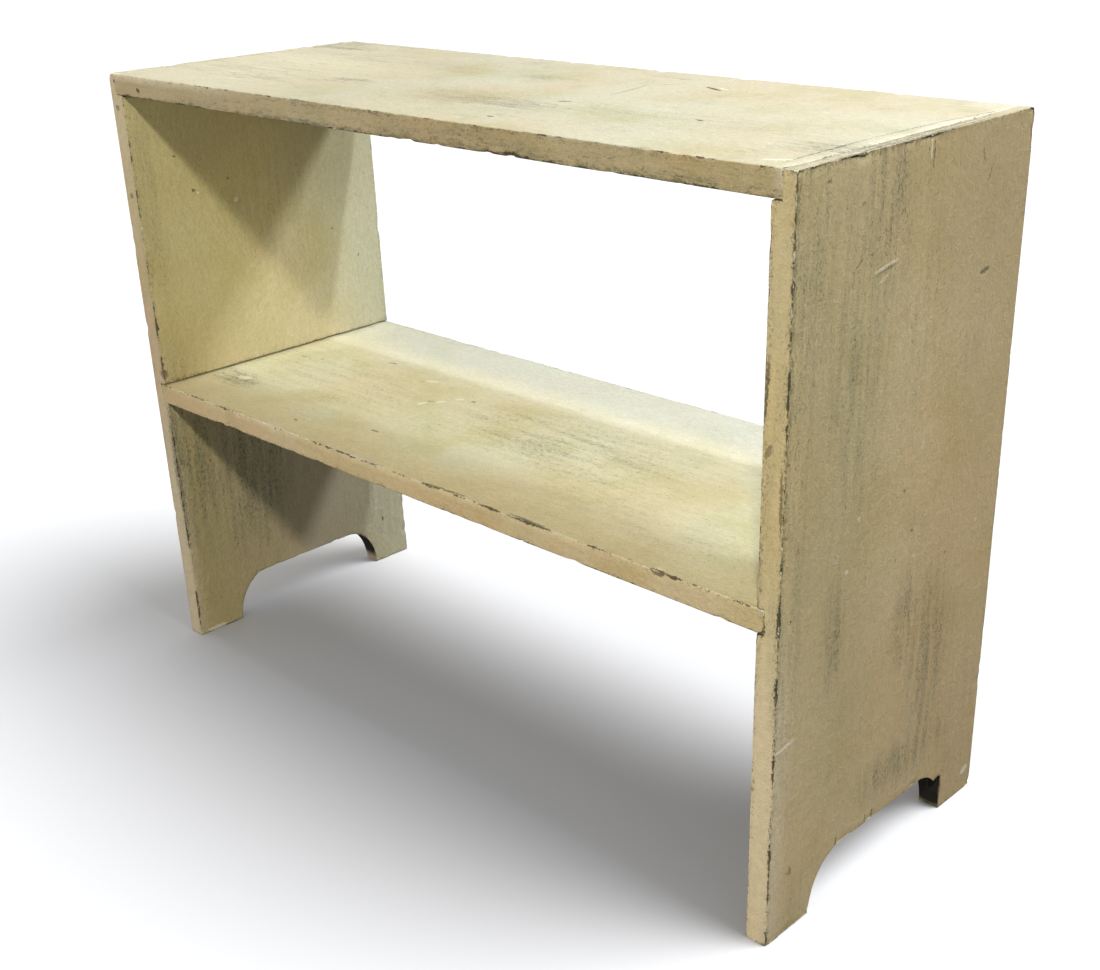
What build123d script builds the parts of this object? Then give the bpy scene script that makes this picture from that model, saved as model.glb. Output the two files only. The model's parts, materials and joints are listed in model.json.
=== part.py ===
from build123d import *
import os

# A plank bench with one shelf: two end boards on cut-out feet, a top let into rabbets
# at the ends' upper edge, a shelf in through housings, and nails driven in from outside.
# Millimetres.  X runs along the length, Y from the front (-) to the back (+), Z up from
# the floor.  The origin is on the floor, at the middle of the outline seen from above.

# Overall
length = 912.0              # outside face to outside face of the end boards
height = 684.0              # floor to the top surface
depth = 336.0               # front to back along the top
left_spread = 8.0           # how much deeper the left end board is at the floor, all at its back
right_spread = 12.0         # the same at the right end board

# Boards
end_thickness = 22.4
top_thickness = 22.2
shelf_thickness = 22.4
shelf_height = 333.6        # floor to the shelf's upper surface
arris_radius = 1.0          # worn rounding along the boards' long edges

# Joints
left_rabbet = 12.7          # how far the top reaches into the left end board
right_rabbet = 9.6          # how far it reaches into the right one
right_ledge_gap = 0.8       # the right ledge sits this much under the top, which hangs on its nails
left_housing = 10.1         # depth of the shelf's groove in the left end board
right_housing = 6.9         # depth of the groove in the right end board
housing_play = 0.3          # slack over the shelf in its grooves

# Feet
arch_height = 55.0          # floor to the flat of the cut-out
shoulder_width = 45.0       # plan width of each rounded shoulder, a quarter of an ellipse
front_foot_width = 64.0
left_back_foot_width = 56.0
right_back_foot_width = 60.0

# Nails, sheared from plate: flat sides, tapered edges, a small square head
nail_length = 50.0
nail_plate = 2.6            # plate thickness, along Y
nail_head_height = 4.6
nail_head_thickness = 1.6
nail_neck = 3.4             # shank height under the head
nail_tip = 1.6              # shank height at the point
front_nail_inset = 16.0     # front edge to the first nail
back_nail_inset = 20.0      # last nail to the back edge
shelf_nail_row = (0.0, 0.35, 0.5, 1.0)   # places from the first nail to the last
top_nail_row = (0.0, 0.52, 1.0)

# Derived planes
front_y = -(depth + max(left_spread, right_spread)) / 2
inner_x = length / 2 - end_thickness
shelf_underside = shelf_height - shelf_thickness
top_underside = height - top_thickness


def back_y(spread, z):
    """Y of an end board's back edge at a height; the edge leans out to the floor."""
    return front_y + depth + spread * (1 - z / height)


def slab(x_low, x_high, y_low, y_high, z_low, z_high):
    """A box between two corners."""
    size = (x_high - x_low, y_high - y_low, z_high - z_low)
    return Pos(x_low, y_low, z_low) * Box(*size, align=(Align.MIN, Align.MIN, Align.MIN))


def side_prism(outline, x_low, x_high):
    """A closed outline of (y, z) edges, extruded along X."""
    plane = Plane(origin=(x_low, 0, 0), x_dir=(0, 1, 0), z_dir=(1, 0, 0))
    return extrude(plane * make_face(outline), amount=x_high - x_low)


def foot_arch(spread, back_foot_width, x_low, x_high):
    """The opening between the feet: a flat top between two elliptical shoulders."""
    start = front_y + front_foot_width
    end = back_y(spread, 0) - back_foot_width
    front_shoulder = EllipticalCenterArc((start + shoulder_width, 0), shoulder_width, arch_height, 90)
    back_shoulder = EllipticalCenterArc((end - shoulder_width, 0), shoulder_width, arch_height, 0)
    flat = Line((start + shoulder_width, arch_height), (end - shoulder_width, arch_height))
    sill = Line((start, 0), (end, 0))
    return side_prism(front_shoulder + flat + back_shoulder + sill, x_low, x_high)


def nail(side, y, z):
    """One nail, its head flush with an end board's outer face, driven towards the middle."""
    head_x = side * length / 2
    neck_x = head_x - side * nail_head_thickness
    tip_x = head_x - side * nail_length
    half_head = nail_head_height / 2
    half_neck = nail_neck / 2
    half_tip = nail_tip / 2
    profile = Polyline(
        (head_x, z + half_head), (neck_x, z + half_head), (neck_x, z + half_neck), (tip_x, z + half_tip),
        (tip_x, z - half_tip), (neck_x, z - half_neck), (neck_x, z - half_head), (head_x, z - half_head),
        close=True)
    plane = Plane(origin=(0, y + nail_plate / 2, 0), x_dir=(1, 0, 0), z_dir=(0, -1, 0))
    return extrude(plane * make_face(profile), amount=nail_plate)


def nail_set(side, spread, row, z):
    """The nails along one joint, from the front of the end board to its back."""
    first = front_y + front_nail_inset
    last = back_y(spread, z) - back_nail_inset
    return [nail(side, first + place * (last - first), z) for place in row]


def end_board(side, spread, rabbet, ledge_gap, housing, back_foot_width, nails):
    """An end board: trapezium outline, feet, rabbet for the top and groove for the shelf."""
    x_low, x_high = sorted((side * inner_x, side * length / 2))
    outline = Polyline((front_y, 0), (back_y(spread, 0), 0), (back_y(spread, height), height),
                       (front_y, height), close=True)
    board = side_prism(outline, x_low, x_high)
    upright_edges = board.edges().filter_by(lambda edge: abs(edge.tangent_at(0.5).Z) > 0.9)
    board = fillet(upright_edges, arris_radius)
    board -= foot_arch(spread, back_foot_width, x_low, x_high)
    past_front = front_y - arris_radius
    past_back = back_y(spread, 0) + arris_radius
    rabbet_x = sorted((side * inner_x, side * (inner_x + rabbet)))
    board -= slab(*rabbet_x, past_front, past_back, top_underside - ledge_gap, height)
    housing_x = sorted((side * inner_x, side * (inner_x + housing)))
    board -= slab(*housing_x, past_front, past_back, shelf_underside, shelf_height + housing_play)
    for each in nails:
        board -= each
    return board


def top_board(nails):
    """The top, whose ends sit in the rabbets, flush with the end boards all round."""
    board = slab(-inner_x - left_rabbet, inner_x + right_rabbet, front_y, front_y + depth,
                 top_underside, height)
    board = fillet(board.edges().filter_by(Axis.X), arris_radius)
    for each in nails:
        board -= each
    return board


def shelf_board(nails):
    """The shelf, whose back edge runs straight from one end board's back edge to the other's."""
    left_x = -inner_x - left_housing
    right_x = inner_x + right_housing
    outline = Polyline((left_x, front_y), (right_x, front_y), (right_x, back_y(right_spread, shelf_height)),
                       (left_x, back_y(left_spread, shelf_height)), close=True)
    board = extrude(Plane.XY.offset(shelf_underside) * make_face(outline), amount=shelf_thickness)
    long_edges = board.edges().filter_by(lambda edge: abs(edge.tangent_at(0.5).X) > 0.9)
    board = fillet(long_edges, arris_radius)
    for each in nails:
        board -= each
    return board


def save(name, shape):
    """Write one node, a single solid or a group of them, as parts/NAME.step."""
    shape.label = name
    export_step(shape, f"parts/{name}.step")


def main():
    os.makedirs("parts", exist_ok=True)
    shelf_nail_z = shelf_underside + shelf_thickness / 2
    top_nail_z = top_underside + top_thickness / 2
    left_shelf_nails = nail_set(-1, left_spread, shelf_nail_row, shelf_nail_z)
    right_shelf_nails = nail_set(1, right_spread, shelf_nail_row, shelf_nail_z)
    left_top_nails = nail_set(-1, left_spread, top_nail_row, top_nail_z)
    right_top_nails = nail_set(1, right_spread, top_nail_row, top_nail_z)
    save("left_end_board", end_board(-1, left_spread, left_rabbet, 0, left_housing, left_back_foot_width,
                                     left_shelf_nails + left_top_nails))
    save("right_end_board", end_board(1, right_spread, right_rabbet, right_ledge_gap, right_housing,
                                      right_back_foot_width, right_shelf_nails + right_top_nails))
    save("top_board", top_board(left_top_nails + right_top_nails))
    save("shelf_board", shelf_board(left_shelf_nails + right_shelf_nails))
    save("left_shelf_nails", Compound(children=left_shelf_nails))
    save("right_shelf_nails", Compound(children=right_shelf_nails))
    save("left_top_nails", Compound(children=left_top_nails))
    save("right_top_nails", Compound(children=right_top_nails))


main()
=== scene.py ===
import json
import math
import random

import bmesh
import bpy
from mathutils import Matrix, Vector, geometry, kdtree, noise

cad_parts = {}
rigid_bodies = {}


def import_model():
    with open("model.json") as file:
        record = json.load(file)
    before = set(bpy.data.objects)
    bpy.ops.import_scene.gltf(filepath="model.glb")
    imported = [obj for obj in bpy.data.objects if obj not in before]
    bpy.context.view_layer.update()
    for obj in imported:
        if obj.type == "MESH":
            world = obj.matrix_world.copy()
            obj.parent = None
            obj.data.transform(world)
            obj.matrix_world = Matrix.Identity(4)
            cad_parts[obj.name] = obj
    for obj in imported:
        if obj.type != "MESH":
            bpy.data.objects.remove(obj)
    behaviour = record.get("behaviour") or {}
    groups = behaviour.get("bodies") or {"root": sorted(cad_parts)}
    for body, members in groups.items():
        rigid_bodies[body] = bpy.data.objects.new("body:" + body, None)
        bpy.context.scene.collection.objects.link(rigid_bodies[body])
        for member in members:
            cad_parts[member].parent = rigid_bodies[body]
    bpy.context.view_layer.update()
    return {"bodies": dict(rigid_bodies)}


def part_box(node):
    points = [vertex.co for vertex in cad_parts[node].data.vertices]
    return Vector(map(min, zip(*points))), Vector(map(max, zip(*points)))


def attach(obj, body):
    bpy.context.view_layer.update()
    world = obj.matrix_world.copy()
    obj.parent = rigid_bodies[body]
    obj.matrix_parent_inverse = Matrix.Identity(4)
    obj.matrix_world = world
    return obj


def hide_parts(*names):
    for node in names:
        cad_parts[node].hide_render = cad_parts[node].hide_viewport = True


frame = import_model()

mm = 0.001
bodyName = list(frame["bodies"])[0]

topLow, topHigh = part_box("top_board")
shelfLow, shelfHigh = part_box("shelf_board")
leftLow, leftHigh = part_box("left_end_board")
rightLow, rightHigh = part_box("right_end_board")
print("frame loaded")

# faces of the boards in whole millimetres, for placing the marks of wear
topFace = round(topHigh.z / mm)
shelfFace = round(shelfHigh.z / mm)
frontFace = round(topLow.y / mm)
rightFace = round(rightHigh.x / mm)
leftFace = round(leftLow.x / mm)
leftInside = round(leftHigh.x / mm)


# small tools

def toLinear(hexColour):
    channels = [int(hexColour[i:i + 2], 16) / 255 for i in (1, 3, 5)]
    return (*[c / 12.92 if c <= 0.04045 else ((c + 0.055) / 1.055) ** 2.4 for c in channels], 1.0)


def addNode(tree, kind, links=None, out=0, **settings):
    node = tree.nodes.new("ShaderNode" + kind)
    for key, value in settings.items():
        setattr(node, key, value)
    for key, value in (links or {}).items():
        if isinstance(value, bpy.types.NodeSocket):
            tree.links.new(value, node.inputs[key])
        else:
            node.inputs[key].default_value = value
    return node.outputs[out] if node.outputs else node


def emptyMaterial(name):
    material = bpy.data.materials.new(name)
    material.use_nodes = True
    material.node_tree.nodes.clear()
    return material


def boxMesh(low, high):
    bm = bmesh.new()
    bmesh.ops.create_cube(bm, size=1)
    bmesh.ops.scale(bm, vec=Vector(high) - Vector(low), verts=bm.verts)
    bmesh.ops.translate(bm, vec=(Vector(high) + Vector(low)) / 2, verts=bm.verts)
    return bm


def asObject(name, bm):
    mesh = bpy.data.meshes.new(name)
    bm.to_mesh(mesh)
    bm.free()
    piece = bpy.data.objects.new(name, mesh)
    bpy.context.scene.collection.objects.link(piece)
    return piece


def addTo(whole, bm):
    # put one mesh into another
    part = bpy.data.meshes.new("part")
    bm.to_mesh(part)
    bm.free()
    whole.from_mesh(part)
    bpy.data.meshes.remove(part)


def carve(piece, cutters):
    for cutter in cutters:
        cut = piece.modifiers.new("cut", "BOOLEAN")
        cut.operation = "DIFFERENCE"
        cut.solver = "EXACT"
        cut.object = cutter
    bpy.context.view_layer.update()
    graph = bpy.context.evaluated_depsgraph_get()
    mesh = bpy.data.meshes.new_from_object(piece.evaluated_get(graph))
    piece.modifiers.clear()
    piece.data = mesh
    for cutter in cutters:
        bpy.data.objects.remove(cutter)


# how an old plank is shaped: arrises rounded by wear, nicks, a surface that was planed by hand

planks = {
    "arris": 1.1 * mm,          # rounding of the edges
    "arrisSteps": 3,
    "arrisTurn": 0.6,           # an edge that turns by more than this, in radians, is an arris
    "arrisRow": 2.2,            # how far in the row of cells beside an arris lies, in roundings
    "arrisPoint": 1 * mm,       # spacing of the points that stand for an arris
    "alongCell": 3 * mm,        # mesh cells along the grain, across it and through the board
    "acrossCell": 4 * mm,
    "throughCell": 5 * mm,
    "wave": 0.16 * mm,          # how far hand planing leaves the face from flat
    "waveLength": 70 * mm,
    "ripple": 0.06 * mm,        # fine unevenness of the old paint
    "rippleLength": 9 * mm,
    "nickWide": (3, 11),        # nicks of chance place, in millimetres
    "nickDeep": (0.2, 1.1),
    "leastWear": 0.38,          # wear of an arris that no worn stretch covers
    "merge": 0.01 * mm,         # points closer than this are one
    "sliver": 0.005 * mm,
    "cutSnap": 0.0001 * mm,     # a cut through the cells takes points this close as its own
}


def sharpEdges(bm):
    return [e for e in bm.edges
            if len(e.link_faces) == 2 and e.is_convex and e.calc_face_angle() > planks["arrisTurn"]]


def arrisFinder(bm):
    # every sharp edge as a set of near points, so a vertex finds its own arris
    runs = [(e.verts[0].co.copy(), e.verts[1].co.copy()) for e in sharpEdges(bm)]
    near = []
    for number, (a, b) in enumerate(runs):
        count = max(2, math.ceil((b - a).length / planks["arrisPoint"]))
        near += [(a.lerp(b, i / count), number) for i in range(count + 1)]
    tree = kdtree.KDTree(len(near))
    for i, (point, number) in enumerate(near):
        tree.insert(point, i)
    tree.balance()
    return runs, near, tree


def arrisDistance(point, finder):
    runs, near, tree = finder
    a, b = runs[near[tree.find(point)[1]][1]]
    foot, share = geometry.intersect_point_line(point, a, b)
    foot = a.lerp(b, min(1, max(0, share)))
    return (point - foot).length


def cutAcross(bm, axis, places):
    # straight cuts through the whole mesh, square to one axis
    normal = Vector((0, 0, 0))
    normal[axis] = 1
    for place in places:
        bmesh.ops.bisect_plane(bm, geom=bm.verts[:] + bm.edges[:] + bm.faces[:], dist=planks["cutSnap"],
                               plane_co=normal * place, plane_no=normal)


def nearness(point, at, size):
    # 1 in the middle of a flattened spot, fading from 0.3 of its half size out to 0 at 1.8
    fadeFrom, fadeTo = 0.3, 1.8
    away = Vector([(point[i] / mm - at[i]) / size[i] for i in range(3)]).length
    share = min(1, max(0, (fadeTo - away) / (fadeTo - fadeFrom)))
    return share * share * (3 - 2 * share)


def drawPatches(bm, look):
    # where the coat is rubbed thin, and stains of a colour of their own, some of them painted light and
    # shade, kept on the vertices
    rub = bm.verts.layers.float.new("rub")
    stainAndPaintedLight = bm.verts.layers.float_color.new("stainAndPaintedLight")
    stainsAndPaintedLight = [(at, size, Vector(toLinear(tint)[:3]), strength) for at, size, tint, strength in look["stainsAndPaintedLight"]]
    for v in bm.verts:
        v[rub] = max(nearness(v.co, at, size) * strength for at, size, strength in look["rubs"])
        colour, kept = Vector((0, 0, 0)), 1
        for at, size, tint, strength in stainsAndPaintedLight:
            share = nearness(v.co, at, size) * strength
            colour = colour * (1 - share) + tint * share
            kept *= 1 - share
        v[stainAndPaintedLight] = (*(colour / max(1 - kept, 0.001)), 1 - kept)


def weather(piece, settings, look, longAxis, grid):
    # round the arrises, cut the faces into cells, then wear it
    bm = bmesh.new()
    bm.from_mesh(piece.data)
    bmesh.ops.remove_doubles(bm, verts=bm.verts, dist=planks["merge"])
    bmesh.ops.dissolve_limit(bm, angle_limit=0.001, verts=bm.verts, edges=bm.edges)
    bm.normal_update()
    finder = arrisFinder(bm)
    low = Vector([min(v.co[i] for v in bm.verts) for i in range(3)])
    high = Vector([max(v.co[i] for v in bm.verts) for i in range(3)])
    bmesh.ops.bevel(bm, geom=sharpEdges(bm), offset=planks["arris"], segments=planks["arrisSteps"],
                    profile=0.5, affect="EDGES", material=-1, clamp_overlap=True)
    beside = planks["arris"] * planks["arrisRow"]
    for axis in (longAxis, *[a for a in (0, 1, 2) if a != longAxis]):
        start, length = low[axis], high[axis] - low[axis]
        count = max(1, round(length / grid[axis]))
        cutAcross(bm, axis, [start + length * i / count for i in range(1, count)])
        # a row of cells close beside each arris keeps its rounding tight
        cutAcross(bm, axis, (low[axis] + beside, high[axis] - beside))
    bmesh.ops.dissolve_degenerate(bm, dist=planks["sliver"], edges=bm.edges)
    bm.normal_update()

    # nicks of chance place, then the larger bites and the worn stretches of this board
    draw = random.Random(settings["seed"])
    arrisPoints = [point for point, number in finder[1]]
    nicks = []
    for i in range(settings["nicks"]):
        point = arrisPoints[draw.randrange(len(arrisPoints))]
        nicks.append((point, draw.uniform(*planks["nickWide"]) * mm, draw.uniform(*planks["nickDeep"]) * mm))
    nicks += [(Vector(at) * mm, wide * mm, deep * mm) for at, wide, deep in settings["bites"]]
    worn = [(Vector(a) * mm, Vector(b) * mm, amount) for a, b, amount in settings["worn"]]

    arris = bm.verts.layers.float.new("arris")
    wear = bm.verts.layers.float.new("wear")
    shift = Vector((settings["seed"] * 3.1, 7.7, 1.3))      # each board has its own part of the noise
    moves = {}
    for v in bm.verts:
        v[arris] = arrisDistance(v.co, finder) / mm
        here = [amount for a, b, amount in worn if all(a[i] <= v.co[i] <= b[i] for i in range(3))]
        v[wear] = max([planks["leastWear"]] + here)
        # the noise is moved to lie below nought, so that it only takes wood away
        wave = (noise.noise(v.co / planks["waveLength"] + shift) - 1) / 2
        ripple = (noise.noise(v.co / planks["rippleLength"] + shift) - 1) / 2
        moves[v] = v.normal * (wave * planks["wave"] * 2 + ripple * planks["ripple"])
    listed = list(bm.verts)
    places = kdtree.KDTree(len(listed))
    for i, v in enumerate(listed):
        places.insert(v.co, i)
    places.balance()
    for point, wide, deep in nicks:
        for co, i, away in places.find_range(point, wide):
            moves[listed[i]] -= listed[i].normal * deep * (1 - (away / wide) ** 2) ** 2
    for v, move in moves.items():
        v.co += move
    bmesh.ops.recalc_face_normals(bm, faces=bm.faces)
    drawPatches(bm, look)
    for face in bm.faces:
        face.smooth = True
    bm.to_mesh(piece.data)
    bm.free()


# the paint: cream oil paint brushed over dark green paint on pine

skin = {
    # widths in millimetres of what repeats in the paint; a pair is along and across the grain
    "yellowing": 150.0,         # broad drifts where the oil yellowed
    "greying": 70.0,
    "brush": (26.0, 2.0),       # bristle lines are about 0.6 apart, drawn coarser so that they show
    "pebble": (7.0, 5.0),       # lumps of a thick coat laid over an old one
    "grit": 1.9,                # dust in the coat is about 0.3 wide, drawn coarser so that it shows
    "looseRub": 60.0,
    "streak": (80.0, 8.0),      # bands of rubbing, as wide as a finger's edge
    "speckAcross": 1.8,         # rubbed-through specks are 0.5 to 2 across, drawn at the coarse end
    "chipRag": 4.5,
    "bareRun": 34.0,            # length of chips along an arris, where the cream is gone
    "freshRun": 20.0,           # and of the shallow ones that show clean cream
    "toWood": 9.0,              # islands where the green is gone too
    "swell": 16.0,
    "ragged": 2.5,              # wobble of the outline of every mark
    # shares that decide where the specks of green show through
    "rubPull": 0.14, "arrisPull": 0.11, "arrisReach": 8.0, "streakPull": 0.26, "speckFrom": (0.75, 0.92),
    # how far the chips come in from an arris, in millimetres either way
    "runReach": 6.0, "ragReach": 4.2, "wearReach": (-1.6, 1.1), "bareLess": 0.15, "chipSoft": 0.55,
    # relief in millimetres
    "chipDepth": -0.3, "speckDepth": -0.12, "scuffRise": 0.28, "gritRise": 0.36, "swellRise": 0.5,
    # roughness of eggshell oil paint, from its low spots to its high ones, and of what lies bare
    "smooth": 0.46, "rough": 0.64, "bareRough": 0.85, "ior": 1.48,
    "faceTurn": (0.35, 0.9),    # how squarely a face must look one way to count as looking there
}


def mottle(tree, place, size, seed=0.0, detail=2.0, roughness=0.5):
    # soft patches; size is their width in millimetres, one for every way or one for each axis
    widths = [size] * 3 if isinstance(size, float) else size
    moved = addNode(tree, "Mapping", {"Vector": place, "Location": (seed, seed * 0.7, seed * 1.3),
                                      "Scale": [1 / width for width in widths]})
    return addNode(tree, "TexNoise", {"Vector": moved, "Scale": 1.0, "Detail": detail,
                                      "Roughness": roughness})


def step(tree, value, low, high, most=1.0):
    return addNode(tree, "MapRange", {"Value": value, "From Min": low, "From Max": high, "To Max": most},
                   interpolation_type="SMOOTHSTEP")


def spread(tree, value, low, high):
    # stretch a share of 0 to 1 over a wider range
    return addNode(tree, "MapRange", {"Value": value, "To Min": low, "To Max": high})


def calc(tree, operation, a, b):
    return addNode(tree, "Math", {0: a, 1: b}, operation=operation)


def blend(tree, share, a, b, kind="MIX"):
    return addNode(tree, "Mix", {0: share, 6: a, 7: b}, out=2, data_type="RGBA", blend_type=kind)


def inMillimetres(tree):
    place = addNode(tree, "TexCoord", out="Object")
    return addNode(tree, "VectorMath", {0: place, "Scale": 1 / mm}, operation="SCALE")


def onVertices(tree, name, out="Fac"):
    return addNode(tree, "Attribute", out=out, attribute_type="GEOMETRY", attribute_name=name)


def mark(tree, place, at, size, turn=("z", 0), soft=0.18):
    # one flattened spot: centre and half sizes in millimetres, turned about one axis by degrees
    angles = [math.radians(turn[1]) if axis == turn[0] else 0 for axis in "xyz"]
    local = addNode(tree, "Mapping", {"Vector": place, "Location": at, "Scale": size, "Rotation": angles},
                    vector_type="TEXTURE")
    away = addNode(tree, "VectorMath", {0: local}, out="Value", operation="LENGTH")
    return step(tree, away, 1 + soft, 1 - soft)


def marks(tree, place, listed):
    found = None
    for at, size, turn, *strength in listed:
        spot = mark(tree, place, at, size, turn)
        if strength:
            spot = calc(tree, "MULTIPLY", spot, strength[0])
        found = spot if found is None else calc(tree, "MAXIMUM", found, spot)
    return found


def oldPaint(name, look):
    # Brushed oil paint, decades old: low eggshell gloss, fine brush lines and a pebbled skin, rubbed
    # thin in places so the green coat greys it, and chipped at the arrises down to green and wood.
    material = emptyMaterial(name)
    tree = material.node_tree
    seed = look["seed"]
    place = inMillimetres(tree)

    def grained(length, width):
        return [length if axis == look["grain"] else width for axis in "xyz"]

    jitter = addNode(tree, "TexNoise", {"Vector": place, "Scale": 1 / skin["ragged"], "Detail": 3.0,
                                        "Roughness": 0.6}, out="Color")
    jitter = addNode(tree, "VectorMath", {0: jitter, 1: (0.5, 0.5, 0.5)}, operation="SUBTRACT")
    jitter = addNode(tree, "VectorMath", {0: jitter, "Scale": look["ragged"]}, operation="SCALE")
    ragged = addNode(tree, "VectorMath", {0: place, 1: jitter}, operation="ADD")

    # which way a face looks sets its colour: partly how much it was bleached or handled, partly painted light
    # and shade, paler on upward faces and warmer on the sides and edges
    facing = addNode(tree, "SeparateXYZ", {0: addNode(tree, "TexCoord", out="Normal")}).node.outputs
    upward = step(tree, facing["Z"], *skin["faceTurn"])
    sideways = addNode(tree, "Math", {0: facing["X"]}, operation="ABSOLUTE")
    sideways = step(tree, sideways, *skin["faceTurn"])
    coat = blend(tree, sideways, toLinear(look["edge"]), toLinear(look["side"]))
    coat = blend(tree, upward, coat, toLinear(look["top"]))

    # broad drifts of colour, and stains of a place of their own, some of them painted light and shade
    drift = mottle(tree, place, skin["yellowing"], seed, 3.0)
    coat = blend(tree, step(tree, drift, 0.36, 0.64), coat, toLinear(look["pinkDrift"]), "MULTIPLY")
    drift = mottle(tree, place, skin["greying"], seed + 4, 4.0, 0.6)
    coat = blend(tree, step(tree, drift, 0.42, 0.68), coat, toLinear(look["greenDrift"]), "MULTIPLY")
    stainAndPaintedLight = onVertices(tree, "stainAndPaintedLight", "Color")
    coat = blend(tree, stainAndPaintedLight.node.outputs["Alpha"], coat, stainAndPaintedLight)

    # brush lines and the pebbled skin
    brush = mottle(tree, place, grained(*skin["brush"]), seed + 5, 3.0, 0.6)
    pebble = mottle(tree, place, grained(*skin["pebble"]), seed + 9, 5.0, 0.78)
    grit = mottle(tree, place, skin["grit"], seed + 15, 3.0, 0.7)
    tone = calc(tree, "ADD", grit, pebble)
    tone = addNode(tree, "MapRange", {"Value": tone, "From Min": 0.7, "From Max": 1.3,
                                      "To Min": 1 - look["contrast"], "To Max": 1 + look["contrast"]})
    paint = addNode(tree, "VectorMath", {0: coat, "Scale": tone}, operation="SCALE")

    # rubbed places: fine dark specks in streaks along the grain, over a thin green-grey film
    loose = mottle(tree, place, skin["looseRub"], seed + 21, 3.0, 0.6)
    loose = step(tree, loose, 0.5, 0.8, look["rubAll"])
    patch = calc(tree, "MAXIMUM", onVertices(tree, "rub"), loose)
    arris = onVertices(tree, "arris")
    streak = mottle(tree, ragged, grained(*skin["streak"]), seed + 27, 3.0, 0.6)
    speck = mottle(tree, ragged, grained(look["speckLong"], skin["speckAcross"]), seed + 31, 4.0, 0.7)
    for pull in (calc(tree, "MULTIPLY", patch, skin["rubPull"]),
                 step(tree, arris, skin["arrisReach"], 0.5, skin["arrisPull"]),
                 calc(tree, "MULTIPLY", streak, skin["streakPull"])):
        speck = calc(tree, "ADD", speck, pull)
    speck = step(tree, speck, *skin["speckFrom"], look["speckDepth"])
    film = calc(tree, "MULTIPLY", patch, step(tree, streak, 0.36, 0.62, look["filmDepth"]))
    paint = blend(tree, film, paint, toLinear(look["film"]))
    paint = blend(tree, speck, paint, toLinear(look["green"]))

    # chips along the arrises, and gouges, one of them a painted shadow line
    rag = mottle(tree, place, skin["chipRag"], seed + 47, 5.0, 0.75)
    rag = spread(tree, rag, -skin["ragReach"], skin["ragReach"])
    wear = spread(tree, onVertices(tree, "wear"), *skin["wearReach"])

    def arrisChips(shift, length, less):
        run = mottle(tree, place, length, seed + shift, 4.0, 0.65)
        run = spread(tree, run, -skin["runReach"], skin["runReach"])
        reach = calc(tree, "ADD", calc(tree, "ADD", run, rag), wear)
        reach = calc(tree, "SUBTRACT", calc(tree, "SUBTRACT", reach, less), arris)
        return step(tree, reach, 0.0, skin["chipSoft"])

    bareChip = arrisChips(41, skin["bareRun"], skin["bareLess"])
    freshChip = arrisChips(83, skin["freshRun"], look["freshLess"])
    bareAndPaintedShade = calc(tree, "MAXIMUM", bareChip, marks(tree, ragged, look["gougesAndPaintedShadow"]))

    # under the cream: green paint, and the brown wood where that is gone too
    deeper = step(tree, mottle(tree, place, skin["toWood"], seed + 61, 3.0), 0.5, 0.62)
    under = blend(tree, deeper, toLinear(look["green"]), toLinear(look["wood"]))
    if look["archDark"]:
        # the sawn faces of the foot arches are near-black: partly their own bare colour, where the cream coat
        # never went, and partly painted shade inside the arch
        cut = mark(tree, place, *look["archDark"], soft=0.12)
        cut = calc(tree, "MULTIPLY", cut, calc(tree, "SUBTRACT", 1.0, sideways))
        under = blend(tree, cut, under, toLinear(look["sawnAndPaintedShade"]))
        bareAndPaintedShade = calc(tree, "MAXIMUM", bareAndPaintedShade, calc(tree, "MULTIPLY", cut, 1.1))
    colour = blend(tree, calc(tree, "MULTIPLY", bareAndPaintedShade, 0.9), paint, under)
    scuffs = calc(tree, "MAXIMUM", marks(tree, ragged, look["scuffs"]), freshChip)
    colour = blend(tree, calc(tree, "MULTIPLY", scuffs, 0.85), colour, toLinear(look["fresh"]))

    swell = mottle(tree, place, skin["swell"], seed + 71, 2.0)
    relief = None
    for height, depth in ((bareAndPaintedShade, skin["chipDepth"]), (speck, skin["speckDepth"]),
                          (scuffs, skin["scuffRise"]), (brush, look["brushRise"]),
                          (pebble, look["pebbleRise"]), (grit, skin["gritRise"]),
                          (swell, skin["swellRise"])):
        part = calc(tree, "MULTIPLY", height, depth)
        relief = part if relief is None else calc(tree, "ADD", relief, part)
    bump = addNode(tree, "Bump", {"Height": relief, "Distance": 1 * mm, "Strength": 1.0})

    gloss = addNode(tree, "MapRange", {"Value": pebble, "From Min": 0.3, "From Max": 0.7,
                                       "To Min": skin["smooth"], "To Max": skin["rough"]})
    gloss = addNode(tree, "Mix", {0: bareAndPaintedShade, 2: gloss, 3: skin["bareRough"]})
    shader = addNode(tree, "BsdfPrincipled", {"Base Color": colour, "Roughness": gloss, "Normal": bump,
                                              "IOR": skin["ior"]})
    addNode(tree, "OutputMaterial", {"Surface": shader})
    return material


commonPaint = {
    "ragged": 6.0, "contrast": 0.14, "pinkDrift": "#FFF7F0", "greenDrift": "#F4F4E6",
    "rubAll": 0.5, "film": "#8B8C72", "filmDepth": 0.34, "speckDepth": 0.6, "speckLong": 5.0,
    "freshLess": 1.7, "archDark": None, "brushRise": 0.14, "pebbleRise": 1.1,
    "green": "#3B412F", "wood": "#665338", "sawnAndPaintedShade": "#12130E", "fresh": "#F3ECD4", "side": "#D5C395",
}

# The boards. Every place is in millimetres. A bite has its width and depth, a worn stretch two
# corners and an amount, a stain (some are painted light and shade) half sizes, a colour and a strength,
# a rub half sizes and a strength, and a gouge (one is a painted shadow) or a scuff half sizes, a turn and,
# where it is faint, a strength.

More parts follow.
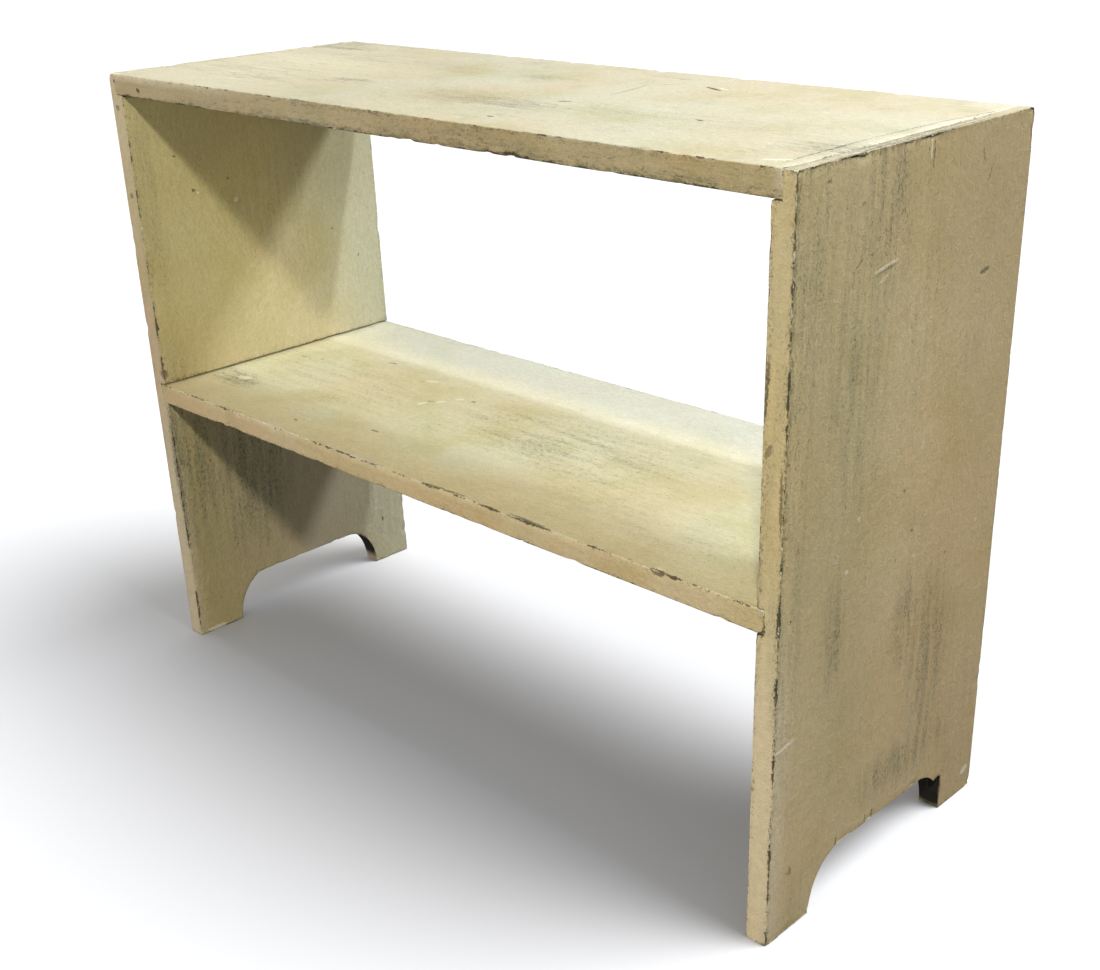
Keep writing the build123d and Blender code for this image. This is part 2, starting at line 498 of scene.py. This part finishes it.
topBoard = {
    "seed": 11, "nicks": 80,
    "bites": [
        ((168, frontFace, 662), 7, 1.6), ((-300, frontFace, 662), 6, 1.2), ((40, frontFace, 662), 8, 1.0),
        ((345, frontFace, topFace), 7, 1.1),
    ],
    "worn": [
        ((-450, -176, 660), (450, -168, 666), 0.95), ((-60, -176, 660), (450, -168, 666), 1.35),
        ((-450, -176, 680), (450, -168, 686), 0.7), ((-450, 155, 680), (450, 170, 686), 0.6),
    ],
}
topPaint = {
    **commonPaint, "grain": "x", "seed": 11.0, "top": "#D0CBB1", "edge": "#BEAF88", "pebbleRise": 1.3,
    "speckLong": 11.0, "rubAll": 0.8,
    "stainsAndPaintedLight": [
        ((449, 0, topFace), (10, 400, 20), "#EFEAD8", 0.6),
        ((-400, -60, topFace), (170, 160, 6), "#EEE5C6", 0.8),
    ],
    "rubs": [
        ((40, -75, topFace), (75, 30, 9), 1.1), ((100, -176, 668), (420, 5, 12), 1.0),
        ((-178, -61, topFace), (30, 14, 9), 1), ((-397, 110, topFace), (40, 16, 9), 1),
        ((-25, 61, topFace), (40, 12, 9), 0.7), ((-302, -97, topFace), (60, 16, 9), 0.8),
        ((436, -92, topFace), (55, 26, 9), 0.9), ((-335, -72, topFace), (130, 60, 9), 0.5),
        ((-257, 66, topFace), (190, 30, 9), 0.5), ((-430, 130, topFace), (30, 34, 9), 1),
        ((230, -60, topFace), (150, 40, 9), 0.4),
    ],
    "gougesAndPaintedShadow": [
        ((166, 94, topFace), (15, 2.0, 5), ("z", -24)), ((101, -39, topFace), (6, 1.6, 4), ("z", 30)),
        ((267, -50, topFace), (5, 1.8, 4), ("z", -10)), ((104, -135, topFace), (4, 2.0, 4), ("z", 0)),
        ((105, 44, topFace), (0.9, 34, 4), ("z", 9), 0.6),
        ((114, 94, topFace), (0.9, 19, 4), ("z", -38), 0.4),
        ((428, -95, topFace), (0.9, 60, 4), ("z", 1), 0.7),
        ((429, 10, topFace), (0.8, 44, 4), ("z", -3), 0.6),
        ((436, 90, topFace), (0.8, 40, 4), ("z", -8), 0.6),
        ((-400, frontFace, 670), (3.2, 4, 2.6), ("y", 0)),
        ((168, frontFace, 664), (11, 4, 2.4), ("y", 0)),
    ],
    "scuffs": [
        ((420, -150, topFace), (12, 3, 4), ("z", 35)), ((173, 99, topFace), (12, 1.2, 4), ("z", -24)),
    ],
}

shelfBoard = {
    "seed": 23, "nicks": 80,
    "bites": [
        ((-224, frontFace, shelfFace), 9, 1.3), ((-79, frontFace, shelfFace), 9, 1.2),
        ((328, frontFace, shelfFace), 8, 1.8), ((57, frontFace, shelfFace), 8, 1.2),
    ],
    "worn": [
        ((-450, -176, 330), (450, -168, 336), 1.05), ((-450, -176, 309), (450, -168, 314), 0.8),
        ((-450, 155, 330), (450, 172, 336), 0.7), ((-450, -180, 330), (-432, 180, 336), 0.9),
        ((432, -180, 330), (450, 180, 336), 0.8),
    ],
}
shelfPaint = {
    **commonPaint, "grain": "x", "seed": 23.0, "top": "#E1DEBC", "edge": "#DCCAA2", "freshLess": 1.1,
    "green": "#4A4130", "wood": "#6B5236", "filmDepth": 0.2,
    "stainsAndPaintedLight": [
        # the first three are painted light and shade: darker at the left back, a warm pale band along the
        # front, a pale cool band along the back; the last is a stain
        ((-330, 130, shelfFace), (110, 60, 20), "#D2CDAA", 0.3),
        ((0, -160, 344), (560, 34, 12), "#FFF2C8", 0.8),
        ((0, 140, shelfFace), (520, 66, 20), "#F1F0DE", 0.6),
        ((-440, 0, shelfFace), (12, 190, 20), "#A09A74", 0.35),
    ],
    "rubs": [
        ((-396, -100, shelfFace), (44, 20, 9), 1.3), ((-430, 0, shelfFace), (10, 190, 9), 0.5),
        ((70, -12, shelfFace), (170, 70, 9), 0.8), ((-300, -40, shelfFace), (150, 80, 9), 0.5),
        ((250, -90, shelfFace), (160, 60, 9), 0.4),
    ],
    "gougesAndPaintedShadow": [
        ((-288, 53, shelfFace), (6, 1.6, 5), ("z", 20), 0.6),
        ((-124, -111, shelfFace), (6, 1.8, 5), ("z", 0), 0.6),
        ((-219, -145, shelfFace), (4, 1.6, 5), ("z", -20), 0.6),
        ((-396, 1, shelfFace), (5, 1.6, 5), ("z", 0), 0.5),
        ((-433, 0, shelfFace), (0.8, 180, 4), ("z", 0), 0.45),
        ((431, 0, shelfFace), (1.2, 180, 4), ("z", 0), 0.5),
        ((-146, -8, shelfFace), (9, 1.2, 4), ("z", 20), 0.7),
        ((-203, 34, shelfFace), (8, 1.2, 4), ("z", 35), 0.6),
        ((57, -171, shelfFace), (27, 1.3, 5), ("z", 2), 0.7),
        ((168, -171, shelfFace), (25, 1.3, 5), ("z", -2), 0.7),
        ((328, -173, 333), (8, 3.4, 5), ("z", 0), 0.9), ((-110, 20, shelfFace), (3, 1.6, 4), ("z", 0)),
    ],
    "scuffs": [
        ((-384, -95, shelfFace), (10, 5, 4), ("z", 20)), ((-200, 38, shelfFace), (9, 3.4, 4), ("z", 30)),
        ((-139, -3, shelfFace), (7, 3.4, 4), ("z", 50)), ((-152, -20, shelfFace), (6, 3.0, 4), ("z", 70)),
        ((-128, 16, shelfFace), (5, 3.0, 4), ("z", 40)),
        ((-224, -172, shelfFace), (25, 2.6, 4), ("z", 1)),
        ((-79, -171, shelfFace), (28, 2.4, 4), ("z", -1)),
    ],
}

rightEnd = {
    "seed": 37, "nicks": 80,
    "bites": [
        ((rightFace, frontFace, 560), 9, 1.4), ((rightFace, frontFace, 140), 8, 1.2),
        ((rightFace, -90, topFace), 9, 1.3), ((rightFace, frontFace, topFace), 7, 1.8),
        ((rightFace, 174, 3), 7, 2.0), ((rightFace, frontFace, 0), 7, 1.6),
        ((rightFace, 3, topFace), 6, 1.6), ((rightFace, 162, topFace), 6, 1.5),
    ],
    "worn": [
        ((450, -176, 0), (457, -168, 690), 1.12), ((450, -180, 680), (457, 40, 686), 1.1),
        ((452, -176, 570), (457, -163, 684), 1.5), ((452, -70, 675), (457, -5, 686), 1.7),
        ((430, -176, 300), (436, -168, 640), 0.9), ((430, -176, 0), (457, 180, 3), 0.7),
        ((450, 155, 0), (457, 180, 690), 0.5),
    ],
    "frontFoot": 64 * mm, "backFoot": 60 * mm, "shoulder": 45 * mm, "archHeight": 55 * mm,
    "ledgeGap": 0.8 * mm,
    # where the rear foot's corner split away: centre, size and lean
    "splits": [
        ((450, 108, 27), (14, 7, 28), -6), ((451, 104, 36), (12, 6, 9), 35),
    ],
}
rightPaint = {
    **commonPaint, "grain": "z", "seed": 37.0, "top": "#D2CDB8", "side": "#DBC89B", "edge": "#DECEA6",
    "pebbleRise": 0.85,
    "stainsAndPaintedLight": [
        ((rightFace, 130, 560), (10, 70, 180), "#C0AE84", 0.45),
        ((rightFace, 100, 660), (10, 110, 100), "#B9A77F", 0.55),
        ((rightFace, -140, 210), (10, 40, 90), "#E8D6AA", 0.55),
        ((445, frontFace, 120), (30, 20, 160), "#F5E6C6", 0.6),
        ((rightFace, -120, 560), (30, 90, 230), "#C1B68A", 0.6),
        ((rightFace, 120, 200), (30, 120, 300), "#CFB78F", 0.35),
        ((rightFace, -90, 250), (30, 60, 130), "#C4B68B", 0.5),
        ((445, frontFace, 440), (30, 20, 110), "#E3CD92", 0.4),
    ],
    "rubs": [
        ((rightFace, -95, 283), (9, 14, 50), 0.9), ((rightFace, 20, 250), (9, 18, 46), 0.9),
        ((rightFace, 64, 195), (9, 34, 84), 0.9), ((rightFace, 135, 95), (9, 30, 70), 0.35),
        ((rightFace, 40, 100), (9, 70, 24), 0.9), ((rightFace, -150, 620), (9, 26, 120), 0.8),
        ((rightFace, -50, 640), (9, 34, 80), 0.9), ((rightFace, -85, 540), (9, 40, 140), 0.7),
        ((rightFace, -160, 440), (9, 22, 300), 0.6), ((rightFace, 10, 560), (9, 40, 110), 0.4),
        ((445, frontFace, 440), (14, 9, 150), 0.5), ((449, -40, topFace), (12, 110, 5), 0.9),
    ],
    "gougesAndPaintedShadow": [
        ((rightFace, -142, 66), (4, 1.5, 5), ("x", 12), 0.6),
        ((rightFace, -145, 64), (4, 3.2, 1.2), ("x", -30), 0.5),
        ((rightFace, -12, 60), (4, 0.9, 7), ("x", 4), 0.8),
        ((rightFace, -24, 59), (4, 0.8, 6), ("x", -3), 0.7),
        ((rightFace, 103, 557), (4, 7, 2.2), ("x", 10), 0.7),
        ((rightFace, 84, 656), (4, 1.2, 7), ("x", 20), 0.5),
        ((rightFace, 97, 640), (4, 1.1, 8), ("x", -25), 0.5),
        ((rightFace, 2, 386), (4, 2.0, 1.6), ("x", 0), 0.6),
        ((rightFace, 19, 343), (4, 2.4, 1.6), ("x", 0), 0.6),
        ((rightFace, 80, 300), (4, 2.4, 1.4), ("x", 0), 0.6),
        ((rightFace, -71, 58), (6, 1.1, 8), ("x", 0), 0.9),
        # painted shadow: the dark line below the raised scratch at z 591.5 in the scuffs
        ((rightFace, -52, 588.5), (4, 15, 0.9), ("x", 8), 0.5),
        ((rightFace, -89, 601), (4, 6, 1.2), ("x", 40), 0.5),
        ((rightFace, -134, 670), (4, 2.4, 1.8), ("x", 0), 0.5),
        ((rightFace, -88, 646), (4, 3, 1.4), ("x", 0), 0.5),
        # the second mark on the next line darkens the split of the rear foot: partly broken wood, partly
        # painted shade in the break
        ((rightFace, 6, 668), (4, 0.9, 12), ("x", 0), 0.7), ((450, 108, 24), (12, 8, 20), ("x", 0)),
        ((451, -60, topFace), (0.9, 60, 3), ("z", 2), 0.6),
        ((447, 60, topFace), (0.9, 60, 3), ("z", -1), 0.6),
        ((453, 30, topFace), (0.8, 90, 3), ("z", 0), 0.5),
        ((436, frontFace, 520), (1.6, 4, 24), ("y", 2), 0.8),
        ((453, frontFace, 430), (1.4, 4, 30), ("y", -1), 0.7),
        ((439, frontFace, 470), (2.4, 4, 7), ("y", 20), 0.6),
    ],
    "scuffs": [
        ((rightFace, -67, 382), (4, 2.6, 2.2), ("x", 0), 0.6),
        ((rightFace, 25, 421), (4, 1.4, 5), ("x", -15), 0.5),
        ((rightFace, -52, 591.5), (4, 17, 1.5), ("x", 8), 0.6),
        ((rightFace, -54, 582), (4, 8, 1.4), ("x", 24), 0.5),
        ((rightFace, -158, 202.5), (4, 14, 2.0), ("x", 7), 0.9),
        ((rightFace, 2, 674), (4, 1.2, 10), ("x", 0), 0.7),
        ((rightFace, -81, 338), (4, 2.8, 2.2), ("x", 0), 0.8),
        ((rightFace, 25, 316), (4, 2.4, 1.8), ("x", 0), 0.6),
        ((rightFace, 132, 315), (4, 2.4, 1.8), ("x", 0), 0.6),
        ((rightFace, 160, 24), (6, 7, 4), ("x", 20)),
    ],
    # the near-black arch faces are partly bare wood and partly painted shade
    "archDark": ((445, 96, 22), (40, 24, 36)),
}

leftEnd = {
    "seed": 51, "nicks": 80,
    "bites": [
        ((leftInside, frontFace, 345), 8, 2.2), ((leftFace, frontFace, topFace), 7, 1.5),
        ((leftFace, frontFace, 400), 8, 1.0), ((leftInside, frontFace, 500), 8, 1.2),
        ((leftInside, frontFace, 120), 8, 1.4), ((leftInside, 168, 30), 7, 1.4),
    ],
    "worn": [
        ((-436, -176, 0), (-430, -168, 690), 1.25), ((-457, -176, 0), (-450, -168, 690), 0.55),
        ((-457, -180, 680), (-450, 180, 686), 0.75), ((-457, -176, 0), (-430, 180, 3), 0.8),
        ((-436, 160, 0), (-430, 180, 690), 0.75),
    ],
    "frontFoot": 64 * mm, "backFoot": 56 * mm, "shoulder": 45 * mm, "archHeight": 55 * mm, "ledgeGap": 0,
    "splits": [],
}
leftPaint = {
    **commonPaint, "grain": "z", "seed": 51.0, "side": "#DDD5A7", "top": "#E6E0C8", "edge": "#D6C1A3",
    "pebbleRise": 1.2,
    "stainsAndPaintedLight": [
        # painted light and shade: the pale grey band at the back (y 160) stands for light from behind, the
        # darker patches below the shelf (z 140 and 170) and under the top (z 575 and 630) for shade; the
        # others are stains
        ((leftInside, 160, 400), (30, 60, 420), "#D5D2B2", 0.75),
        ((leftInside, -130, 140), (30, 90, 200), "#B9AB78", 0.75),
        ((leftInside, 20, 170), (30, 120, 200), "#C8BA9D", 0.7),
        ((leftInside, -120, 560), (30, 90, 140), "#CDC48E", 0.5),
        ((leftInside, -20, 630), (30, 100, 50), "#C2B789", 0.6),
        ((leftInside, 90, 575), (10, 70, 70), "#B9B08A", 0.6),
        ((-445, frontFace, 130), (14, 12, 200), "#F0E4CF", 0.5),
    ],
    "rubs": [
        ((leftInside, -150, 240), (9, 40, 110), 1), ((leftInside, -70, 200), (9, 60, 100), 1),
        ((leftInside, -160, 560), (9, 14, 120), 0.5), ((leftInside, 130, 90), (9, 40, 80), 0.35),
        ((leftInside, 20, 520), (9, 60, 80), 0.35),
    ],
    "gougesAndPaintedShadow": [
        ((leftInside, -172, 346), (6, 4.5, 6), ("x", 0), 0.7),
        ((leftInside, -101, 549), (4, 2.4, 1.8), ("x", 0), 0.8),
        ((leftInside, -53, 555), (4, 2.0, 1.6), ("x", 0), 0.7),
        ((leftInside, 130, 60), (4, 1.6, 4), ("x", 0), 0.7),
        ((leftInside, 90, 470), (4, 1.4, 2.0), ("x", 0), 0.6),
        ((leftInside, 128, 430), (4, 1.4, 1.8), ("x", 0), 0.6),
        ((-445, frontFace, 553), (3.6, 5, 3.0), ("y", 0), 0.6),
        ((-446, frontFace, 648), (3.6, 5, 3.0), ("y", 0), 0.6),
        ((leftInside, -120, 590), (4, 3, 1.2), ("x", 0), 0.7),
        ((leftInside, 0, 335), (3, 180, 0.9), ("x", 0), 0.5),
        ((leftInside, 0, 659), (3, 180, 1.6), ("x", 0), 0.6),
        ((leftInside, 0, 309), (3, 180, 1.6), ("x", 0), 0.6),
    ],
    "scuffs": [
        ((leftInside, -45, 529), (4, 3.0, 2.8), ("x", 0)),
        ((leftInside, -95, 545), (4, 2, 1.6), ("x", 0)), ((leftInside, -150, 3), (6, 14, 3), ("x", 0)),
    ],
    # the near-black arch faces are partly bare wood and partly painted shade
    "archDark": ((-445, 92, 24), (40, 24, 36)),
}


def addShelfOrTop(name, low, high, settings, look, backLeft, backRight):
    bm = boxMesh(low, high)
    # the back edge runs from one end board's back edge to the other's
    for v in bm.verts:
        if v.co.y > (low.y + high.y) / 2:
            v.co.y = backLeft if v.co.x < 0 else backRight
    piece = asObject(name, bm)
    weather(piece, settings, look, 0, (planks["alongCell"], planks["acrossCell"], planks["throughCell"]))
    return piece


cuts = {
    "past": 5 * mm,             # how far a cutter stands out of the board
    "grooveGap": 0.5 * mm,      # room over the shelf in its groove
    "roundSteps": 72,
}


def addEndBoard(name, low, high, settings, look, side):
    bm = boxMesh(low, high)
    lean = math.atan2(high.y - topHigh.y, high.z - low.z)
    bmesh.ops.bisect_plane(bm, geom=bm.verts[:] + bm.edges[:] + bm.faces[:], dist=planks["cutSnap"],
                           plane_co=(0, high.y, low.z), plane_no=(0, math.cos(lean), math.sin(lean)),
                           clear_outer=True)
    bmesh.ops.holes_fill(bm, edges=bm.edges, sides=0)
    piece = asObject(name, bm)

    def cutter(a, b):
        lower = [min(pair) for pair in zip(a, b)]
        upper = [max(pair) for pair in zip(a, b)]
        return asObject("cutter", boxMesh(lower, upper))

    past = cuts["past"]
    innerX = high.x if side < 0 else low.x
    outX = innerX - side * past
    rabbetX = topLow.x if side < 0 else topHigh.x
    grooveX = shelfLow.x if side < 0 else shelfHigh.x
    shoulder, archHeight = settings["shoulder"], settings["archHeight"]
    shoulders = (low.y + settings["frontFoot"] + shoulder, high.y - settings["backFoot"] - shoulder)
    ledge = topLow.z - settings["ledgeGap"]
    cutters = [
        cutter((outX, low.y - past, ledge), (rabbetX, high.y + past, high.z + past)),
        cutter((outX, low.y - past, shelfLow.z), (grooveX, high.y + past, shelfHigh.z + cuts["grooveGap"])),
        cutter((low.x - past, shoulders[0], -past), (high.x + past, shoulders[1], archHeight)),
    ]
    for centreY in shoulders:
        # each rounded shoulder is a quarter of an ellipse
        bm = bmesh.new()
        bmesh.ops.create_cone(bm, cap_ends=True, segments=cuts["roundSteps"], radius1=1, radius2=1, depth=1)
        bmesh.ops.rotate(bm, verts=bm.verts, matrix=Matrix.Rotation(math.pi / 2, 3, "Y"))
        bmesh.ops.scale(bm, vec=(high.x - low.x + 2 * past, shoulder, archHeight), verts=bm.verts)
        bmesh.ops.translate(bm, vec=((low.x + high.x) / 2, centreY, 0), verts=bm.verts)
        cutters.append(asObject("cutter", bm))
    for at, size, tip in settings["splits"]:
        bm = boxMesh(Vector(size) * -0.5 * mm, Vector(size) * 0.5 * mm)
        bmesh.ops.rotate(bm, verts=bm.verts, matrix=Matrix.Rotation(math.radians(tip), 3, "X"))
        bmesh.ops.translate(bm, vec=Vector(at) * mm, verts=bm.verts)
        cutters.append(asObject("cutter", bm))
    carve(piece, cutters)
    weather(piece, settings, look, 2, (planks["throughCell"], planks["acrossCell"], planks["alongCell"]))
    return piece


nails = {
    "plate": 2.6 * mm, "headHigh": 4.6 * mm, "headThick": 1.6 * mm, "headRound": 0.35 * mm,
    "neck": 3.4 * mm, "tip": 1.6 * mm, "length": 50 * mm,
    "shankFrom": 0.8,           # where the shank starts, as a share of the head's thickness
    "under": 0.15 * mm,         # how far the painted head lies under the board's face
    "iron": "#2B2622", "rust": "#5A3A26", "coat": "#C3B38A",
    "rustWidth": 1.6,           # blooms of rust, in millimetres
    "rustRise": 0.25,
    "coatFrom": 1.4,            # the paint starts and is whole this far under the face, in millimetres
    "coatWhole": 0.6,
}
nailRows = [
    # piece, its node, the face it is driven from, the way in, and each nail's y and z in millimetres
    ("rightShelfNails", "right_shelf_nails", rightHigh.x, -1,
     ((-158, 322.4), (-50.8, 322.4), (-4.8, 322.4), (148.3, 322.4))),
    ("leftShelfNails", "left_shelf_nails", leftLow.x, 1,
     ((-158, 322.4), (-51.5, 322.4), (-5.9, 322.4), (146.2, 322.4))),
    ("rightTopNails", "right_top_nails", rightHigh.x, -1, ((-158, 672.9), (-1.9, 672.9), (142.3, 672.9))),
    ("leftTopNails", "left_top_nails", leftLow.x, 1, ((-158, 672.9), (-1.9, 672.9), (142.2, 672.9))),
]


def cutNail(outX, y, z, inward):
    # a cut nail: a plate sheared to a taper, driven flush, painted over with the board
    halfPlate, halfHead = nails["plate"] / 2, nails["headHigh"] / 2
    bm = boxMesh((0, -halfPlate, -halfHead), (nails["headThick"], halfPlate, halfHead))
    bmesh.ops.bevel(bm, geom=bm.edges[:], offset=nails["headRound"], segments=2, profile=0.5,
                    affect="EDGES", material=-1)
    shankStart = nails["headThick"] * nails["shankFrom"]
    shank = boxMesh((shankStart, -halfPlate, -0.5), (nails["length"], halfPlate, 0.5))
    for v in shank.verts:
        v.co.z *= nails["neck"] if v.co.x < nails["length"] / 2 else nails["tip"]
    addTo(bm, shank)
    bmesh.ops.scale(bm, vec=(inward, 1, 1), verts=bm.verts)
    bmesh.ops.translate(bm, vec=(outX + inward * nails["under"], y * mm, z * mm), verts=bm.verts)
    bmesh.ops.recalc_face_normals(bm, faces=bm.faces)
    return bm


def addNails(name, outX, inward, places):
    whole = bmesh.new()
    for y, z in places:
        addTo(whole, cutNail(outX, y, z, inward))
    return asObject(name, whole)


def nailIron(name):
    # sheared iron plate, brown-black with old rust; paint stays on the head where rust has not lifted it
    material = emptyMaterial(name)
    tree = material.node_tree
    place = inMillimetres(tree)
    across = addNode(tree, "SeparateXYZ", {0: place})
    across = addNode(tree, "Math", {0: across}, operation="ABSOLUTE")
    outer = step(tree, across, rightFace - nails["coatFrom"], rightFace - nails["coatWhole"])
    rust = mottle(tree, place, nails["rustWidth"], 3.0, 4.0, 0.65)
    kept = calc(tree, "MULTIPLY", outer, step(tree, rust, 0.4, 0.5))
    iron = blend(tree, step(tree, rust, 0.45, 0.6), toLinear(nails["iron"]), toLinear(nails["rust"]))
    colour = blend(tree, kept, iron, toLinear(nails["coat"]))
    relief = calc(tree, "MULTIPLY", rust, nails["rustRise"])
    bump = addNode(tree, "Bump", {"Height": relief, "Distance": 1 * mm, "Strength": 1.0})
    shader = addNode(tree, "BsdfPrincipled", {"Base Color": colour, "Roughness": 0.7, "Normal": bump})
    addNode(tree, "OutputMaterial", {"Surface": shader})
    return material


def finishPiece(piece, material, node):
    piece.data.materials.append(material)
    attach(piece, bodyName)
    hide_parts(node)
    print(piece.name, "made,", len(piece.data.polygons), "faces")


def backEdge(endHigh, z):
    # how far back an end board's sloped back edge is at one height
    return endHigh.y + (topHigh.y - endHigh.y) * z / topHigh.z


top = addShelfOrTop("topPlank", topLow, topHigh, topBoard, topPaint, topHigh.y, topHigh.y)
finishPiece(top, oldPaint("creamPaintTop", topPaint), "top_board")
shelf = addShelfOrTop("shelfPlank", shelfLow, shelfHigh, shelfBoard, shelfPaint,
                      backEdge(leftHigh, shelfHigh.z), backEdge(rightHigh, shelfHigh.z))
finishPiece(shelf, oldPaint("creamPaintShelf", shelfPaint), "shelf_board")
right = addEndBoard("rightEndPlank", rightLow, rightHigh, rightEnd, rightPaint, 1)
finishPiece(right, oldPaint("creamPaintRightEnd", rightPaint), "right_end_board")
left = addEndBoard("leftEndPlank", leftLow, leftHigh, leftEnd, leftPaint, -1)
finishPiece(left, oldPaint("creamPaintLeftEnd", leftPaint), "left_end_board")

ironLook = nailIron("paintedNailIron")
pins = []
for name, node, outX, inward, places in nailRows:
    pins.append(addNails(name, outX, inward, places))
    finishPiece(pins[-1], ironLook, node)


# studio

studio = {
    "cameraPlace": (1.075, -1.0444, 0.8915),
    "azimuth": 44.9, "down": 25.77, "roll": -1.758,         # degrees
    "lens": 48.9, "sensor": 36, "shift": (-0.0065, 0.0755),
    "floorSize": 60.0, "floorColour": "#E5E6E9",
    "fill": 0.108,              # light from all round
}
benchLights = [
    # name, place, aimed at, size, power, colour
    ("frontLight", (1.62, -1.774, 2.67), (0, 0, 0.4), 0.26, 61, "#FFF7E4"),
    ("rearHigh", (2.28, 1.04, 3.78), (0, 0, 0.4), 0.16, 80, "#EEF4FF"),
    ("rearLow", (0.65, 1.46, 2.2), (0, 0, 0.4), 0.3, 46, "#F1F6FF"),
    ("frontFill", (0.4, -3.0, 0.9), (0, 0, 0.4), 1.5, 28, "#FFFBF2"),
    ("leftFill", (-3.2, -0.4, 0.7), (0, 0, 0.4), 1.5, 34, "#FFFBF2"),
]
floorLights = [
    # name, place, aimed at, width in degrees, strength, colour, kind
    ("floorLight", (1.5, 0.9, 3.0), (0, 0, 0), 36.0, 3.3, "#FFFFFF", "SUN"),
    ("floorGlow", (0, 0, 3), (0, 0, 0), 160.0, 1.36, "#FFFFFF", "SUN"),
]


def aim(place, target):
    return (Vector(target) - Vector(place)).to_track_quat("-Z", "Y").to_matrix().to_4x4()


def addLight(name, place, target, size, power, colour, kind="AREA"):
    light = bpy.data.lights.new(name, kind)
    if kind == "AREA":
        light.shape = "SQUARE"
        light.size = size
    else:
        light.angle = math.radians(size)
    light.energy = power
    light.color = toLinear(colour)[:3]
    lamp = bpy.data.objects.new(name, light)
    lamp.matrix_world = Matrix.Translation(place) @ aim(place, target)
    bpy.context.scene.collection.objects.link(lamp)
    return lamp


def addCamera():
    camera = bpy.data.cameras.new("camera")
    camera.sensor_width = studio["sensor"]
    camera.lens = studio["lens"]
    camera.shift_x, camera.shift_y = studio["shift"]
    rig = bpy.data.objects.new("camera", camera)
    turn = Matrix.Rotation(math.radians(studio["azimuth"]), 4, "Z")
    tilt = Matrix.Rotation(math.radians(90 - studio["down"]), 4, "X")
    roll = Matrix.Rotation(math.radians(studio["roll"]), 4, "Z")
    rig.matrix_world = Matrix.Translation(studio["cameraPlace"]) @ turn @ tilt @ roll
    bpy.context.scene.collection.objects.link(rig)
    bpy.context.scene.camera = rig


def addFloor():
    bm = bmesh.new()
    bmesh.ops.create_grid(bm, x_segments=1, y_segments=1, size=studio["floorSize"] / 2)
    floor = asObject("floor", bm)
    material = emptyMaterial("paleFloor")       # matt paper, almost without a shine
    tree = material.node_tree
    shader = addNode(tree, "BsdfPrincipled", {"Base Color": toLinear(studio["floorColour"]),
                                              "Roughness": 0.9, "Specular IOR Level": 0.2})
    addNode(tree, "OutputMaterial", {"Surface": shader})
    floor.data.materials.append(material)
    floor.visible_diffuse = False       # the bright floor would wash out the shade inside the bench
    floor.visible_glossy = False
    return floor


def addWorld():
    # plain white behind the bench, with far less light than it shows
    world = bpy.data.worlds.new("studio")
    world.use_nodes = True
    tree = world.node_tree
    tree.nodes.clear()
    seen = addNode(tree, "LightPath", out="Is Camera Ray")
    strength = spread(tree, seen, studio["fill"], 1.0)
    light = addNode(tree, "Background", {"Color": (1, 1, 1, 1), "Strength": strength})
    addNode(tree, "OutputWorld", {"Surface": light})
    bpy.context.scene.world = world


# the floor has lamps of its own, so its shadow stays soft and does not follow the bench's lamps
addCamera()
floor = addFloor()
for groupName, lights, members in (("benchOnly", benchLights, (top, shelf, left, right, *pins)),
                                   ("floorOnly", floorLights, (floor,))):
    group = bpy.data.collections.new(groupName)
    for member in members:
        group.objects.link(member)
    for lightLook in lights:
        addLight(*lightLook).light_linking.receiver_collection = group
addWorld()
bpy.context.scene.view_settings.view_transform = "Standard"
print("studio made")
